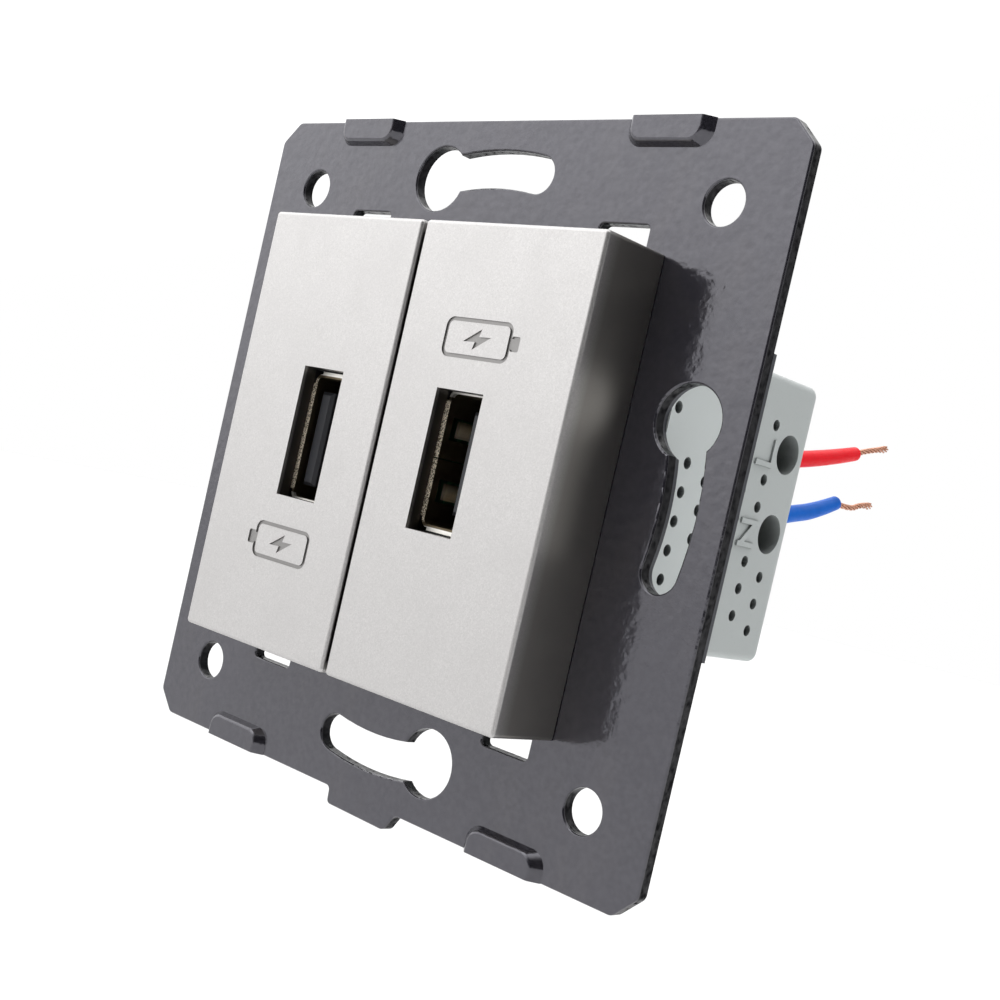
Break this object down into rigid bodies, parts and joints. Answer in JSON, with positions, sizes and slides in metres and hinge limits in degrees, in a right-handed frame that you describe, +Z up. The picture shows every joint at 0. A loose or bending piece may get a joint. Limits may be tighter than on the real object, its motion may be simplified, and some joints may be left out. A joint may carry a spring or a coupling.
{
  "type": "flush double usb wall charger",
  "caption": "Flush wall charger with USB-A outlets in silver covers, keyhole mounting plate, grey rear housing and mains wires in screw terminals.",
  "frame": {"origin": "centre of the square mounting plate, on its back face", "axes": "+X to the right as seen from the room, +Y into the wall, +Z up"},
  "size_m": [0.07, 0.0738, 0.0718],
  "materials": {
    "plate_paint": "gloss charcoal paint with orange peel",
    "strap_paint": "satin blue-grey paint",
    "black_plastic": "matt moulded",
    "silver_lacquer": "fine metallic silver lacquer",
    "screw_steel": "zinc plated",
    "plated_steel": "zinc plated, folded sheet",
    "shell_metal": "tin-plated brass, worn at the lip",
    "tongue_plastic": "grey-lilac moulded",
    "contact_metal": "gold flashed",
    "board_laminate": "green solder mask",
    "grey_plastic": "light grey moulded, fine spark texture",
    "ferrite": "sintered, dark grey",
    "winding_tape": "yellow tape over the winding",
    "capacitor_sleeve": "shrunk sleeve over an aluminium can",
    "blue_resin": "dipped resin",
    "white_plastic": "moulded",
    "red_insulation": "soft glossy sheath",
    "blue_insulation": "soft glossy sheath",
    "copper": "bare copper strands"
  },
  "bodies": {
    "charger_body": {"mounting_plate": "plate_paint", "mounting_strap": "strap_paint", "module_carrier": "black_plastic", "port_holder_right": "black_plastic", "port_holder_left": "black_plastic", "cover_right": "silver_lacquer", "cover_left": "silver_lacquer", "body_screws": "screw_steel", "usb_shell_right": "shell_metal", "usb_shell_left": "shell_metal", "usb_tongue_right": "tongue_plastic", "usb_tongue_left": "tongue_plastic", "usb_contacts_right": "contact_metal", "usb_contacts_left": "contact_metal", "usb_board": "board_laminate", "power_board": "board_laminate", "port_control_chip": "black_plastic", "power_control_chip": "black_plastic", "bridge_rectifier": "black_plastic", "output_diode": "black_plastic", "board_link_header": "black_plastic", "line_fuse": "black_plastic", "board_link_pins": "contact_metal", "rear_housing": "grey_plastic", "transformer_core": "ferrite", "transformer_bobbin": "black_plastic", "transformer_winding": "winding_tape", "input_capacitor": "capacitor_sleeve", "output_capacitor_upper": "capacitor_sleeve", "output_capacitor_lower": "capacitor_sleeve", "line_inductor": "ferrite", "y_capacitor": "blue_resin", "optocoupler": "white_plastic", "terminal_bar_l": "contact_metal", "terminal_bar_n": "contact_metal", "wire_red": "red_insulation", "wire_red_copper": "copper", "wire_blue": "blue_insulation", "wire_blue_copper": "copper"},
    "cage_l": {"terminal_cage_l": "plated_steel"},
    "screw_l": {"terminal_screw_l": "screw_steel"},
    "cage_n": {"terminal_cage_n": "plated_steel"},
    "screw_n": {"terminal_screw_n": "screw_steel"}
  },
  "joints": [
    {"name": "screw_l_turn", "type": "hinge", "parent": "charger_body", "child": "screw_l", "pos_m": [0.0188, 0.02176, 0.00846], "axis": [1, 0, 0], "range_deg": [0, 1440]},
    {"name": "cage_l_travel", "type": "slide", "parent": "charger_body", "child": "cage_l", "axis": [1, 0, 0], "range_m": [-0.002, 0]},
    {"name": "screw_n_turn", "type": "hinge", "parent": "charger_body", "child": "screw_n", "pos_m": [0.0188, 0.02176, 0.00034], "axis": [1, 0, 0], "range_deg": [0, 1440]},
    {"name": "cage_n_travel", "type": "slide", "parent": "charger_body", "child": "cage_n", "axis": [1, 0, 0], "range_m": [-0.002, 0]}
  ],
  "couplings": [
    {"joint": "screw_l_turn", "follows": "cage_l_travel", "rad_per_m": -12566},
    {"joint": "screw_n_turn", "follows": "cage_n_travel", "rad_per_m": -12566}
  ]
}
